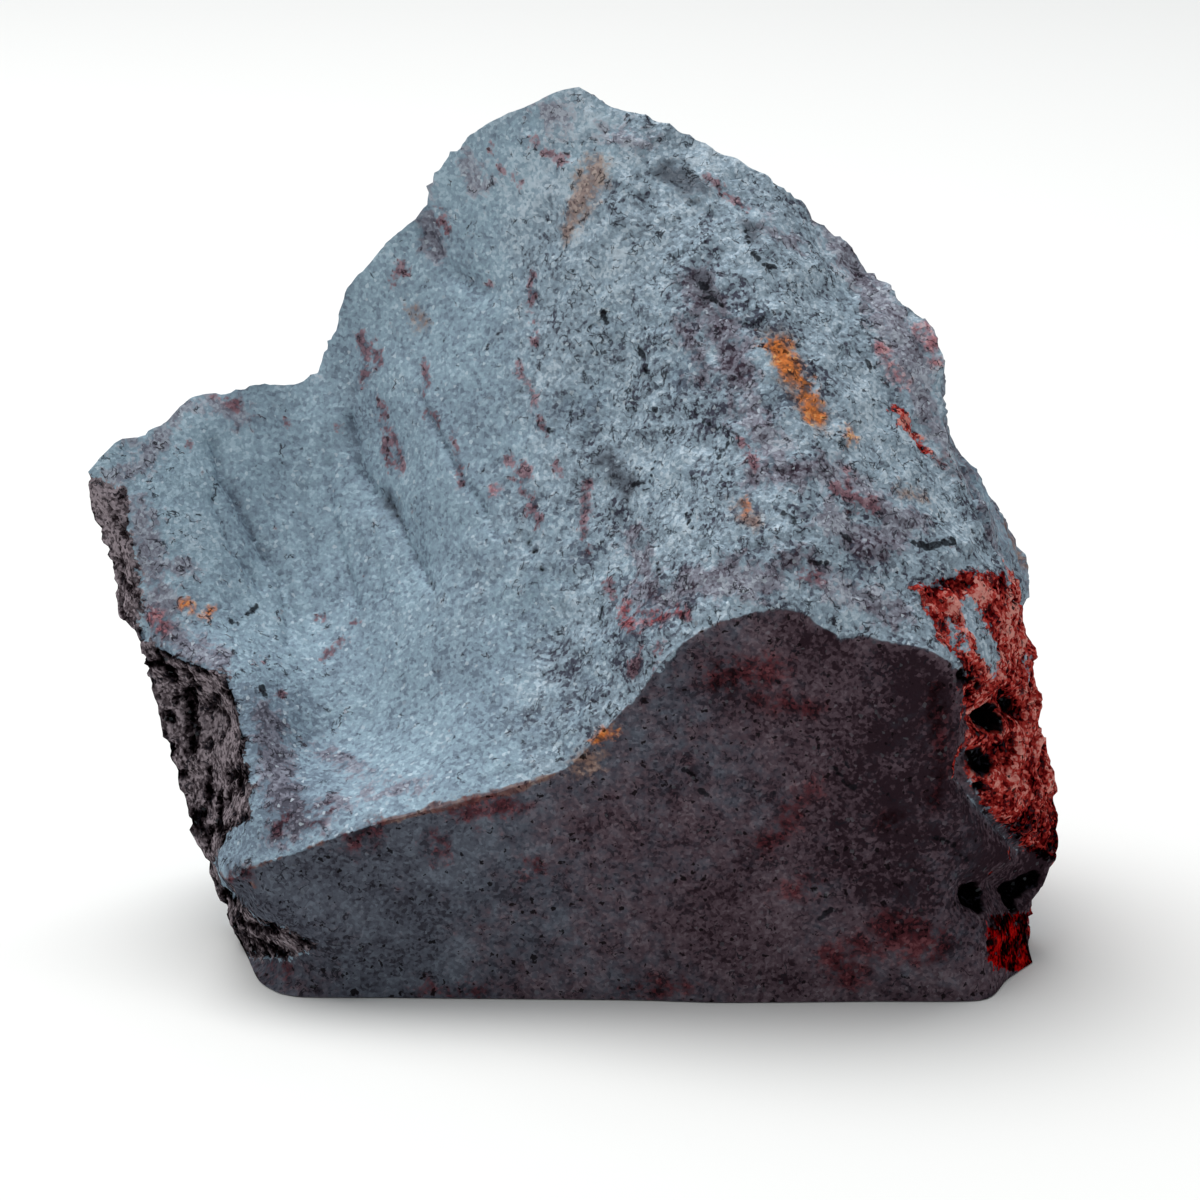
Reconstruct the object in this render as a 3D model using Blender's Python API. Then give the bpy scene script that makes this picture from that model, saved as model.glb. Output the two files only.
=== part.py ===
"""A hand-sized lump of massive hematite: one solid, in metres, +Z up, the flat underside at z = 0.

The front is described as it looks to an eye in front of the stone and a little above it. Each of its
points says how far across it lies, how far up, and how far back the surface is there. The back, which
that eye can't see, is described by plain positions. Named lines run along the outline and the broken
edges. Each broken face is a skin stretched over a closed loop of these lines, and ribs, hollows, chips
and roughness are worked into the closed skin afterwards. Sizes are in millimetres until the mesh is made.
"""

import math

import bmesh
import bpy
import numpy as np
from mathutils import Vector, noise
from mathutils.geometry import delaunay_2d_cdt

MM = 0.001

# How the front is looked at: the tilt of the look below level, the eye's distance from the front foot
# of the stone, and the point across and up that the eye looks straight at.
LOOK_DOWN = math.radians(15)
EYE_DISTANCE = 400.0
EYE_ACROSS = 2.1
EYE_UP = 32.0

# Spacing of the points of the skin on the faces that the eye sees, on the back and on the underside,
# and how close such a point may come to the lines round its face, as a share of the spacing.
FINE = 1.5
COARSE = 2.5
UNDERSIDE = 4.0
EDGE_CLEARANCE = 0.6

# A place well inside the stone, which tells the outer side of each face.
STONE_MIDDLE = Vector((0.0, 20.0, 28.0))


def seen(across, up, back):
    """The place of a point that looks to be at across and up, on a surface that far back."""
    sine, cosine = math.sin(LOOK_DOWN), math.cos(LOOK_DOWN)
    rise = up - EYE_UP
    z = EYE_UP + rise * (1 + back * cosine / EYE_DISTANCE) - back * sine
    z /= cosine + rise * sine / EYE_DISTANCE
    away = back * cosine - z * sine
    x = EYE_ACROSS + (across - EYE_ACROSS) * (1 + away / EYE_DISTANCE)
    return (x, back, z)


def on_base(across, up):
    """The place on the underside of a point that looks to be at across and up."""
    sine, cosine = math.sin(LOOK_DOWN), math.cos(LOOK_DOWN)
    back = EYE_DISTANCE * up / (EYE_DISTANCE * sine - (up - EYE_UP) * cosine)
    x = EYE_ACROSS + (across - EYE_ACROSS) * (1 + back * cosine / EYE_DISTANCE)
    return (x, back, 0.0)


def looks_at(place):
    """Where a place appears to the eye: across and up."""
    sine, cosine = math.sin(LOOK_DOWN), math.cos(LOOK_DOWN)
    x, y, z = place
    shrink = EYE_DISTANCE / (EYE_DISTANCE + y * cosine - z * sine)
    return (
        EYE_ACROSS + (x - EYE_ACROSS) * shrink,
        EYE_UP + (y * sine + z * cosine - EYE_UP) * shrink,
    )


# The points where lines meet.
CORNERS = {
    "left tip": seen(-38.9, 42.3, 18.5),
    "shelf corner": seen(-30.2, 48.4, 25.5),
    "apex": seen(0.5, 73.0, 21.0),
    "lobe top": seen(30.0, 44.0, 10.4),
    "lobe side": seen(36.4, 32.8, 26.5),
    "lobe foot": seen(35.9, 30.3, 13.0),
    "red top right": seen(34.6, 33.6, 5.4),
    "red corner": seen(27.2, 32.5, -1.2),
    "edge end": seen(30.8, 26.6, -3.5),
    "groove foot": seen(38.5, 11.2, 12.5),
    "edge start": seen(-28.0, 9.3, 0.5),
    "bevel foot": seen(-36.3, 38.8, 17.5),
    "strip foot": seen(-36.0, 30.2, 16.5),
    "hollow top": seen(-34.5, 28.6, 15.0),
    "wedge tip": seen(-20.5, 4.1, -0.4),
    "base left": on_base(-26.0, 3.4),
    "base right": on_base(36.8, 3.0),
    "base back": (6.0, 46.0, 0.0),
    "back middle": (2.0, 45.0, 38.0),
    "left knob": (-26.0, 33.5, 27.5),
    "right knob": (29.5, 37.0, 32.0),
    "crest bend": seen(24.9, 57.2, 18.8),
    "base left corner": (-26.5, 34.0, 0.0),
    "base right corner": (34.5, 31.5, 0.0),
}

# The lines, each from one corner through its own points to another corner.
LINES = {
    "strip outline": (
        "strip foot",
        [
            seen(-36.4, 32.0, 19.0),
            seen(-36.8, 34.4, 19.5),
            seen(-37.6, 36.8, 19.8),
            seen(-38.3, 38.4, 19.8),
            seen(-38.7, 40.0, 19.5),
        ],
        "left tip",
    ),
    "bevel outline": (
        "left tip",
        [
            seen(-37.6, 43.8, 19.5),
            seen(-36.3, 44.8, 20.5),
            seen(-33.9, 45.4, 22.0),
            seen(-32.1, 46.5, 23.5),
            seen(-31.1, 47.8, 24.8),
        ],
        "shelf corner",
    ),
    "shelf outline": (
        "shelf corner",
        [
            seen(-25.9, 49.0, 27.0),
            seen(-22.7, 49.2, 27.8),
            seen(-21.1, 49.4, 28.0),
            seen(-20.0, 51.2, 28.5),
            seen(-19.2, 53.6, 28.5),
            seen(-18.3, 56.0, 28.3),
            seen(-17.2, 57.6, 28.0),
            seen(-15.1, 60.0, 27.3),
            seen(-13.6, 61.4, 26.7),
            seen(-11.6, 63.6, 26.0),
            seen(-11.4, 65.6, 25.5),
            seen(-9.7, 67.8, 24.8),
            seen(-7.5, 69.6, 23.8),
            seen(-5.1, 71.0, 22.8),
            seen(-2.7, 71.8, 21.8),
            seen(-1.2, 72.8, 21.2),
        ],
        "apex",
    ),
    "crest outline": (
        "apex",
        [
            seen(2.0, 72.2, 20.8),
            seen(3.1, 71.4, 20.7),
            seen(5.3, 71.0, 20.5),
            seen(8.5, 69.6, 20.5),
            seen(11.3, 68.2, 20.5),
            seen(13.7, 66.8, 20.5),
            seen(16.1, 65.4, 20.5),
            seen(18.1, 64.0, 20.5),
            seen(19.3, 62.4, 20.5),
            seen(21.3, 61.0, 20.5),
            seen(23.1, 59.0, 20.3),
        ],
        "crest bend",
    ),
    "crest outline below": (
        "crest bend",
        [
            seen(26.5, 55.8, 17.4),
            seen(28.5, 54.4, 16.2),
            seen(29.3, 52.4, 15.0),
            seen(29.8, 50.8, 14.2),
            seen(29.4, 47.6, 12.2),
        ],
        "lobe top",
    ),
    "lobe outline above": (
        "lobe top",
        [
            seen(30.8, 43.1, 15.0),
            seen(32.5, 41.4, 20.0),
            seen(34.0, 39.6, 23.5),
            seen(35.1, 37.2, 25.5),
            seen(36.2, 35.2, 27.0),
        ],
        "lobe side",
    ),
    "lobe outline below": (
        "lobe side",
        [seen(36.2, 31.5, 21.0)],
        "lobe foot",
    ),
    "red outline": (
        "lobe foot",
        [
            seen(36.5, 28.4, 13.0),
            seen(36.8, 26.8, 13.0),
            seen(36.8, 24.0, 13.0),
            seen(37.0, 21.6, 13.5),
            seen(37.7, 19.6, 14.0),
            seen(38.4, 17.2, 14.0),
            seen(38.9, 14.8, 14.0),
            seen(38.9, 12.6, 13.5),
        ],
        "groove foot",
    ),
    "low right outline": (
        "groove foot",
        [
            seen(38.1, 9.9, 12.0),
            seen(37.4, 8.6, 11.5),
            seen(36.6, 6.8, 11.0),
            seen(36.5, 4.4, 10.5),
        ],
        "base right",
    ),
    "notch outline": (
        "strip foot",
        [seen(-35.0, 29.6, 15.6)],
        "hollow top",
    ),
    "left outline": (
        "hollow top",
        [
            seen(-34.2, 25.6, 16.5),
            seen(-33.7, 24.0, 17.0),
            seen(-33.1, 21.6, 17.0),
            seen(-32.4, 19.2, 16.5),
            seen(-31.6, 17.2, 16.3),
            seen(-31.0, 15.6, 16.0),
            seen(-30.9, 14.0, 15.5),
            seen(-30.1, 12.4, 15.0),
            seen(-29.5, 10.8, 14.5),
            seen(-29.1, 9.2, 14.2),
            seen(-28.4, 7.2, 14.0),
            seen(-27.8, 6.0, 13.8),
            seen(-26.8, 4.6, 13.4),
        ],
        "base left",
    ),
    "bevel edge": (
        "shelf corner",
        [seen(-32.7, 44.0, 21.8), seen(-34.7, 41.2, 19.2)],
        "bevel foot",
    ),
    "tip edge": (
        "left tip",
        [seen(-38.0, 40.6, 18.0)],
        "bevel foot",
    ),
    "strip edge": (
        "bevel foot",
        [seen(-35.5, 35.6, 16.5), seen(-35.2, 32.0, 15.8)],
        "strip foot",
    ),
    "hollow edge": (
        "hollow top",
        [
            seen(-32.7, 27.8, 13.2),
            seen(-30.8, 26.8, 11.5),
            seen(-28.4, 26.0, 9.5),
            seen(-27.0, 23.5, 7.8),
            seen(-26.4, 19.4, 5.0),
            seen(-25.9, 14.6, 1.8),
            seen(-27.1, 13.0, 3.5),
            seen(-28.1, 11.2, 3.0),
        ],
        "edge start",
    ),
    "great edge": (
        "edge start",
        [
            seen(-26.6, 10.2, -0.6),
            seen(-25.2, 10.8, -1.2),
            seen(-21.6, 12.0, -2.0),
            seen(-17.2, 13.6, -2.4),
            seen(-13.7, 14.6, -2.6),
            seen(-9.1, 15.8, -2.8),
            seen(-5.9, 16.6, -2.9),
            seen(-0.6, 18.4, -3.2),
            seen(1.6, 20.6, -3.6),
            seen(3.6, 22.7, -4.0),
            seen(5.5, 24.6, -4.3),
            seen(7.3, 27.2, -4.8),
            seen(9.2, 28.8, -5.0),
            seen(11.6, 30.1, -5.3),
            seen(14.7, 31.0, -5.5),
            seen(16.7, 31.4, -5.6),
            seen(18.4, 31.0, -5.4),
            seen(19.7, 30.0, -5.2),
            seen(21.6, 29.1, -5.1),
            seen(24.0, 29.0, -5.0),
            seen(25.8, 28.5, -4.9),
            seen(28.4, 28.1, -4.5),
        ],
        "edge end",
    ),
    "red left edge": (
        "red corner",
        [seen(28.7, 30.0, -2.6), seen(30.0, 28.0, -3.3)],
        "edge end",
    ),
    "red top edge": (
        "red corner",
        [seen(28.2, 33.5, -0.4), seen(31.7, 33.8, 2.2)],
        "red top right",
    ),
    "lobe edge": (
        "lobe top",
        [
            seen(30.8, 42.2, 9.4),
            seen(32.4, 39.8, 8.6),
            seen(33.2, 37.1, 7.0),
            seen(34.1, 34.9, 6.0),
        ],
        "red top right",
    ),
    "lobe low edge": (
        "red top right",
        [seen(35.0, 32.0, 7.0)],
        "lobe foot",
    ),
    "groove": (
        "edge end",
        [
            seen(31.9, 24.8, -2.8),
            seen(31.4, 22.8, -3.2),
            seen(31.2, 19.6, -3.0),
            seen(31.7, 17.2, -2.2),
            seen(34.0, 14.6, 0.5),
            seen(35.9, 12.6, 4.0),
            seen(37.0, 11.6, 7.5),
        ],
        "groove foot",
    ),
    "wedge top": (
        "edge start",
        [seen(-26.6, 8.0, 1.0), seen(-23.9, 6.2, 0.3)],
        "wedge tip",
    ),
    "wedge foot": (
        "wedge tip",
        [seen(-23.1, 3.7, 3.5)],
        "base left",
    ),
    "base front": (
        "base left",
        [
            on_base(-25.0, 1.4),
            on_base(-22.4, 0.3),
            on_base(-15.0, 0.2),
            on_base(-5.0, 0.1),
            on_base(5.0, 0.0),
            on_base(12.2, -0.2),
            on_base(24.5, -0.1),
            on_base(32.9, 0.0),
            on_base(34.7, 1.6),
        ],
        "base right",
    ),
    "base right side": (
        "base right",
        [(37.4, 17.0, 0.0), (36.4, 25.0, 0.0)],
        "base right corner",
    ),
    "base back right": (
        "base right corner",
        [(27.0, 36.5, 0.0), (15.0, 42.5, 0.0)],
        "base back",
    ),
    "base left side": (
        "base left",
        [(-28.0, 17.0, 0.0), (-28.2, 26.0, 0.0)],
        "base left corner",
    ),
    "base back left": (
        "base left corner",
        [(-18.0, 39.5, 0.0), (-6.0, 43.0, 0.0)],
        "base back",
    ),
    "left pillar": (
        "left knob",
        [(-29.0, 34.5, 17.0), (-28.5, 36.0, 8.0)],
        "base left corner",
    ),
    "right pillar": (
        "right knob",
        [(32.5, 36.5, 20.0), (35.5, 33.5, 9.0)],
        "base right corner",
    ),
    "ridge above": (
        "apex",
        [(2.0, 26.5, 68.0), (4.0, 33.0, 59.5), (3.0, 40.0, 48.5)],
        "back middle",
    ),
    "ridge below": (
        "back middle",
        [(6.0, 47.0, 24.0), (8.0, 47.5, 10.0)],
        "base back",
    ),
    "ridge left": (
        "back middle",
        [(-12.0, 41.5, 33.0)],
        "left knob",
    ),
    "ridge far left": (
        "left knob",
        [(-33.0, 24.0, 26.5)],
        "hollow top",
    ),
    "left spur": (
        "shelf corner",
        [(-29.5, 30.5, 36.0)],
        "left knob",
    ),
    "ridge right": (
        "back middle",
        [(16.0, 42.5, 37.5)],
        "right knob",
    ),
    "ridge far right": (
        "right knob",
        [(35.0, 31.5, 29.5)],
        "lobe side",
    ),
    "right spur": (
        "crest bend",
        [(26.0, 27.0, 48.0), (28.0, 33.0, 40.5)],
        "right knob",
    ),
}

# The faces: the loop of lines round each, places that its skin passes through, and the spacing of its
# points.
FACES = {
    "upper face": (
        [
            "great edge",
            "red left edge",
            "red top edge",
            "lobe edge",
            "crest outline below",
            "crest outline",
            "shelf outline",
            "bevel edge",
            "strip edge",
            "notch outline",
            "hollow edge",
        ],
        [
            seen(-21.9, 20.0, 8.0),
            seen(-21.9, 30.0, 17.5),
            seen(-21.9, 40.0, 24.0),
            seen(-29.0, 36.0, 18.5),
            seen(-9.9, 20.0, 1.5),
            seen(-9.9, 30.0, 9.5),
            seen(-9.9, 40.0, 15.5),
            seen(-9.9, 50.0, 19.8),
            seen(-6.0, 60.0, 22.0),
            seen(2.1, 30.0, 3.6),
            seen(2.1, 40.0, 9.2),
            seen(2.1, 50.0, 13.6),
            seen(2.1, 62.0, 17.8),
            seen(16.8, 36.0, -3.2),
            seen(16.8, 44.0, 2.2),
            seen(16.8, 52.0, 8.4),
            seen(16.8, 60.0, 15.0),
            seen(26.1, 35.0, -0.6),
            seen(26.1, 42.0, 5.0),
            seen(24.0, 50.0, 10.6),
            seen(-27.0, 12.2, 1.8),
        ],
        FINE,
    ),
    "lower face": (
        [
            "great edge",
            "wedge top",
            "wedge foot",
            "base front",
            "low right outline",
            "groove",
        ],
        [
            seen(-22.0, 9.3, -1.3),
            seen(-17.0, 9.0, -1.5),
            seen(-12.0, 7.0, -1.2),
            seen(6.0, 10.0, -1.9),
            seen(14.0, 20.0, -3.6),
            seen(26.0, 14.0, -2.4),
            seen(33.0, 6.0, 1.0),
            seen(35.0, 10.0, 4.0),
        ],
        FINE,
    ),
    "bevel": (
        ["bevel outline", "bevel edge", "tip edge"],
        [],
        FINE,
    ),
    "left strip": (
        ["strip outline", "tip edge", "strip edge"],
        [],
        FINE,
    ),
    "left hollow": (
        ["hollow edge", "wedge top", "wedge foot", "left outline"],
        [
            seen(-30.5, 24.5, 15.3),
            seen(-29.2, 20.0, 13.5),
            seen(-28.5, 15.5, 11.5),
            seen(-26.6, 6.0, 7.5),
            seen(-24.0, 5.0, 4.0),
        ],
        FINE,
    ),
    "red face": (
        [
            "red left edge",
            "red top edge",
            "lobe low edge",
            "red outline",
            "groove",
        ],
        [
            seen(33.0, 29.5, 0.6),
            seen(33.6, 24.0, 0.8),
            seen(34.2, 19.0, 1.6),
            seen(36.4, 15.5, 5.0),
        ],
        FINE,
    ),
    "lobe": (
        ["lobe edge", "lobe low edge", "lobe outline below", "lobe outline above"],
        [],
        FINE,
    ),
    "left side above": (
        [
            "notch outline",
            "strip outline",
            "bevel outline",
            "left spur",
            "ridge far left",
        ],
        [],
        COARSE,
    ),
    "back above left": (
        ["shelf outline", "ridge above", "ridge left", "left spur"],
        [(-11.0, 36.5, 49.5)],
        COARSE,
    ),
    "back above right": (
        ["crest outline", "ridge above", "ridge right", "right spur"],
        [(16.0, 34.5, 50.5)],
        COARSE,
    ),
    "right side above": (
        [
            "crest outline below",
            "lobe outline above",
            "ridge far right",
            "right spur",
        ],
        [(30.6, 27.5, 37.5)],
        COARSE,
    ),
    "left side": (
        ["ridge far left", "left pillar", "base left side", "left outline"],
        [],
        COARSE,
    ),
    "back below left": (
        ["ridge left", "ridge below", "base back left", "left pillar"],
        [],
        COARSE,
    ),
    "back below right": (
        ["ridge right", "right pillar", "base back right", "ridge below"],
        [],
        COARSE,
    ),
    "right side": (
        [
            "ridge far right",
            "lobe outline below",
            "red outline",
            "low right outline",
            "base right side",
            "right pillar",
        ],
        [(35.6, 22.0, 20.0), (35.2, 28.0, 20.0), (37.0, 22.0, 10.0)],
        COARSE,
    ),
    "underside": (
        [
            "base front",
            "base right side",
            "base back right",
            "base back left",
            "base left side",
        ],
        [],
        UNDERSIDE,
    ),
}

# How far a line swings out at its points: none would make it a run of straight pieces.
SLACK = 0.35

# How rough each face is: the height of its broad lumps and of its small grit.
ROUGHNESS = {
    "upper face": (0.45, 0.16),
    "lower face": (0.3, 0.07),
    "bevel": (0.4, 0.15),
    "left strip": (0.5, 0.35),
    "left hollow": (0.5, 0.45),
    "red face": (0.5, 0.45),
    "lobe": (0.4, 0.1),
    "left side above": (1.0, 0.22),
    "left side": (1.1, 0.3),
    "back above left": (1.2, 0.2),
    "back above right": (1.2, 0.2),
    "back below left": (1.2, 0.22),
    "back below right": (1.2, 0.22),
    "right side above": (0.8, 0.18),
    "right side": (1.0, 0.25),
    "underside": (0.0, 0.0),
}

# The broad lumps and the small grit: how wide they are, how fast the finer ones that ride on them fade,
# and how many sizes of them there are, each half as wide as the one before.
LUMPS = (13.0, 1.0, 2)
GRIT = (3.6, 0.8, 3)
HALVING = 2.0

# Scars where a flake came off the back: a place near the skin, the radius of the shallow bowl that
# the flake left, and how deep the bowl goes.
SCARS = [
    ((18.0, 34.0, 48.0), 44.0, 2.0),
    ((-10.0, 36.0, 46.0), 50.0, 2.2),
    ((-32.0, 26.0, 36.0), 22.0, 1.4),
    ((20.0, 43.0, 20.0), 60.0, 2.4),
    ((28.0, 38.0, 8.0), 24.0, 1.6),
    ((-14.0, 43.0, 18.0), 55.0, 2.4),
    ((-24.0, 40.0, 6.0), 20.0, 1.6),
    ((-31.0, 26.0, 13.0), 30.0, 1.8),
    ((37.0, 24.0, 13.0), 32.0, 1.8),
    ((5.0, 47.0, 30.0), 22.0, 1.6),
    ((30.0, 35.0, 33.0), 16.0, 1.6),
    ((-26.0, 34.0, 28.0), 14.0, 1.6),
    ((6.0, 31.0, 61.0), 20.0, 1.3),
    ((30.0, 28.0, 42.0), 24.0, 1.2),
]

# How much of the skin round the place of a scar says which way the flake came off.
SCAR_NORMAL_REACH = 7.0

BACK_FACES = {
    "left side above",
    "left side",
    "back above left",
    "back above right",
    "back below left",
    "back below right",
    "right side above",
    "right side",
}

# Ribs and grooves of the front, each along a run of points across and up: its half width and its
# height, which is below zero for a groove.
RIBS = [
    ([(-12.3, 62.2), (-9.8, 58.2), (-7.2, 56.8)], 1.1, -0.7),
    ([(-28.8, 44.3), (-27.8, 41.8), (-26.4, 39.0), (-24.9, 36.6), (-24.4, 34.7)], 1.3, -0.6),
    ([(-25.6, 45.5), (-23.4, 40.5), (-21.6, 36.5)], 1.4, -0.3),
    ([(-17.6, 44.3), (-16.4, 40.6), (-14.8, 39.0), (-13.2, 36.2), (-12.5, 34.2)], 1.4, -0.7),
    ([(-20.0, 47.0), (-18.8, 42.5), (-17.0, 38.0)], 1.6, 0.4),
    ([(-14.0, 50.0), (-10.6, 42.5), (-7.0, 36.0)], 1.8, 0.45),
    ([(3.7, 68.0), (-1.0, 48.0), (-2.7, 36.8), (4.0, 29.5)], 3.0, 0.7),
]

# Pits of the front: where across and up, the half width and the depth.
PITS = [
    ((32.9, 22.6), 1.3, 1.9),
    ((32.4, 19.3), 1.2, 1.7),
    ((35.0, 23.8), 0.9, 1.2),
    ((32.2, 8.2), 1.4, 2.4),
    ((35.7, 8.7), 1.8, 2.8),
    ((-27.3, 8.3), 1.1, 1.5),
    ((-29.0, 22.5), 2.4, 0.9),
    ((-28.6, 16.6), 2.0, 0.8),
    ((-3.4, 36.2), 0.9, 0.7),
]

# The seam that parts the fibrous red lobe from the lower face: a deep groove.
SEAM = ([(31.7, 17.2), (34.0, 14.6), (35.9, 12.6), (37.0, 11.6)], 0.9, -1.6)

# Lengths and directions shorter than this count as none.
TINY = 1e-6

# The colour, roughness and lustre of the broken ore.
HEMATITE_COLOUR = (0.17, 0.21, 0.26, 1.0)
HEMATITE_ROUGHNESS = 0.55
HEMATITE_METALLIC = 0.35


def run_through(points, spacing):
    """Points along a smooth run that passes through all of the given ones."""
    places = [Vector(p) for p in points]
    last = len(places) - 1
    run = []
    for i in range(last):
        start, end = places[i], places[i + 1]
        leave = (end - places[max(i - 1, 0)]) * SLACK
        arrive = (places[min(i + 2, last)] - start) * SLACK
        steps = max(1, round((end - start).length / spacing))
        for k in range(steps):
            t = k / steps
            run.append(
                start * (2 * t**3 - 3 * t**2 + 1)
                + leave * (t**3 - 2 * t**2 + t)
                + end * (3 * t**2 - 2 * t**3)
                + arrive * (t**3 - t**2)
            )
    return run + [places[-1]]


def lay_lines(bm):
    """The points of every line, made once, so that the faces on both sides share them."""
    corners = {name: bm.verts.new(place) for name, place in CORNERS.items()}
    laid = {}
    for name, (first, points, last) in LINES.items():
        run = run_through([CORNERS[first], *points, CORNERS[last]], FINE)
        middle = [bm.verts.new(place) for place in run[1:-1]]
        laid[name] = [corners[first], *middle, corners[last]]
    return laid


def closed_loop(laid, names):
    """The points round a face, line after line, each turned so that it goes on from the one before."""
    first, second = laid[names[0]], laid[names[1]]
    loop = list(first) if first[-1] in (second[0], second[-1]) else first[::-1]
    for name in names[1:]:
        line = laid[name] if laid[name][0] is loop[-1] else laid[name][::-1]
        assert line[0] is loop[-1], name
        loop += line[1:]
    assert loop[0] is loop[-1]
    return loop[:-1]


def loop_normal(loop):
    """The mean direction that a loop of points faces."""
    total = Vector()
    for i, vert in enumerate(loop):
        total += vert.co.cross(loop[(i + 1) % len(loop)].co)
    return total.normalized()


def bending(distances):
    """How a thin plate answers to a push at a distance."""
    return distances**2 * np.log(np.maximum(distances, TINY))


def plate_through(flat, heights):
    """A function that gives the height of a thin plate bent through the given points."""
    count = len(flat)
    gaps = np.linalg.norm(flat[:, None] - flat[None], axis=2)
    matrix = np.zeros((count + 3, count + 3))
    matrix[:count, :count] = bending(gaps)
    matrix[:count, count] = 1
    matrix[:count, count + 1 :] = flat
    matrix[count:, :count] = matrix[:count, count:].T
    weights = np.linalg.solve(matrix, np.concatenate([heights, np.zeros(3)]))

    def height(places):
        reach = np.linalg.norm(places[:, None] - flat[None], axis=2)
        return bending(reach) @ weights[:count] + weights[count] + places @ weights[count + 1 :]

    return height


def distance_to_loop(places, outline):
    """How far each place is from a closed outline, and whether it is inside."""
    ends = np.roll(outline, -1, axis=0)
    along = ends - outline
    rel = places[:, None] - outline[None]
    t = np.clip((rel * along).sum(2) / (along**2).sum(1), 0, 1)
    gap = np.linalg.norm(rel - t[..., None] * along, axis=2).min(1)
    above = (outline[:, 1] > places[:, None, 1]) != (ends[:, 1] > places[:, None, 1])
    rise = np.where(along[:, 1] == 0, TINY, along[:, 1])
    crossing = outline[:, 0] + (places[:, None, 1] - outline[:, 1]) * along[:, 0] / rise
    inside = (above & (places[:, None, 0] < crossing)).sum(1) % 2 == 1
    return gap, inside


def honeycomb(outline, spacing):
    """Evenly spaced places inside an outline, none of them close to it."""
    low, high = outline.min(0), outline.max(0)
    places = []
    row_height = spacing * math.sqrt(3) / 2
    for row in range(int((high[1] - low[1]) / row_height) + 1):
        y = low[1] + row * row_height
        shift = spacing / 2 * (row % 2)
        for column in range(int((high[0] - low[0]) / spacing) + 1):
            places.append((low[0] + shift + column * spacing, y))
    places = np.array(places)
    gap, inside = distance_to_loop(places, outline)
    return places[inside & (gap > EDGE_CLEARANCE * spacing)]


def stretch_skin(bm, loop, spots, spacing, number, layer):
    """Fill a loop with a smooth skin of triangles that passes through the given spots."""
    out = loop_normal(loop)
    middle = sum((v.co for v in loop), Vector()) / len(loop)
    if out.dot(middle - STONE_MIDDLE) < 0:
        loop, out = loop[::-1], -out
    right = Vector((-out.y, out.x, 0.0))
    right = right.normalized() if right.length > TINY else Vector((1.0, 0.0, 0.0))
    frame = np.array([right, out.cross(right), out])

    edge = np.array([v.co for v in loop]) @ frame.T
    pinned = edge
    if spots:
        pinned = np.concatenate([edge, np.array(spots) @ frame.T])
    height = plate_through(pinned[:, :2], pinned[:, 2])
    inner = honeycomb(edge[:, :2], spacing)
    if len(inner):
        inner_places = np.column_stack([inner, height(inner)]) @ frame
    else:
        inner_places = []

    flat = [Vector(p) for p in edge[:, :2]] + [Vector(p) for p in inner]
    verts = loop + [bm.verts.new(place) for place in inner_places]
    sides = [(i, (i + 1) % len(loop)) for i in range(len(loop))]
    result = delaunay_2d_cdt(flat, sides, [], 1, TINY)
    origin = [found[0] for found in result[3]]
    for triangle in result[2]:
        face = bm.faces.new([verts[origin[i]] for i in triangle])
        face[layer] = number


def build_skin():
    """The closed skin of the whole stone, in millimetres, each triangle marked with its face."""
    bm = bmesh.new()
    layer = bm.faces.layers.int.new("face")
    laid = lay_lines(bm)
    for number, (names, spots, spacing) in enumerate(FACES.values()):
        stretch_skin(bm, closed_loop(laid, names), spots, spacing, number, layer)
    bmesh.ops.recalc_face_normals(bm, faces=bm.faces)
    return bm


def distance_to_run(places, run):
    """How far each place is from an open run of points."""
    run = np.array(run)
    start, along = run[:-1], np.diff(run, axis=0)
    rel = places[:, None] - start[None]
    t = np.clip((rel * along).sum(2) / (along**2).sum(1), 0, 1)
    return np.linalg.norm(rel - t[..., None] * along, axis=2).min(1)


def face_names(vert, layer):
    """The names of the faces that meet at a point."""
    names = list(FACES)
    return {names[face[layer]] for face in vert.link_faces}


def dig_scar(verts, place, radius, depth):
    """Push the skin near a place back onto a shallow bowl."""
    place = Vector(place)
    nearest = min(verts, key=lambda v: (v.co - place).length)
    around = [v.normal for v in verts if (v.co - nearest.co).length < SCAR_NORMAL_REACH]
    out = sum(around, Vector()).normalized()
    centre = nearest.co + out * (radius - depth)
    for vert in verts:
        ray = vert.co - centre
        if ray.length < radius:
            vert.co = centre + ray.normalized() * radius


def dig_scars(bm, layer):
    """Flake scars on the back, which leave the outline and the underside as they are."""
    bm.normal_update()
    verts = [v for v in bm.verts if face_names(v, layer) <= BACK_FACES]
    for place, radius, depth in SCARS:
        dig_scar(verts, place, radius, depth)


def work_front(bm, layer):
    """Ribs, grooves and pits of the front, pressed into the skin along its normals."""
    bm.normal_update()
    hidden = BACK_FACES | {"underside"}
    verts = [v for v in bm.verts if not face_names(v, layer) & hidden]
    places = np.array([looks_at(v.co) for v in verts])
    height = np.zeros(len(verts))
    for run, width, rise in [*RIBS, SEAM]:
        height += rise * np.exp(-((distance_to_run(places, run) / width) ** 2))
    for centre, width, depth in PITS:
        gap = np.linalg.norm(places - np.array(centre), axis=1)
        height -= depth * np.exp(-((gap / width) ** 2))
    for vert, rise in zip(verts, height):
        vert.co += vert.normal * float(rise)


def unevenness(place, width, fading, sizes):
    """How far a place is above or below the even skin, for lumps of a width and finer ones on them."""
    return noise.fractal(place / width, fading, HALVING, sizes)


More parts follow.
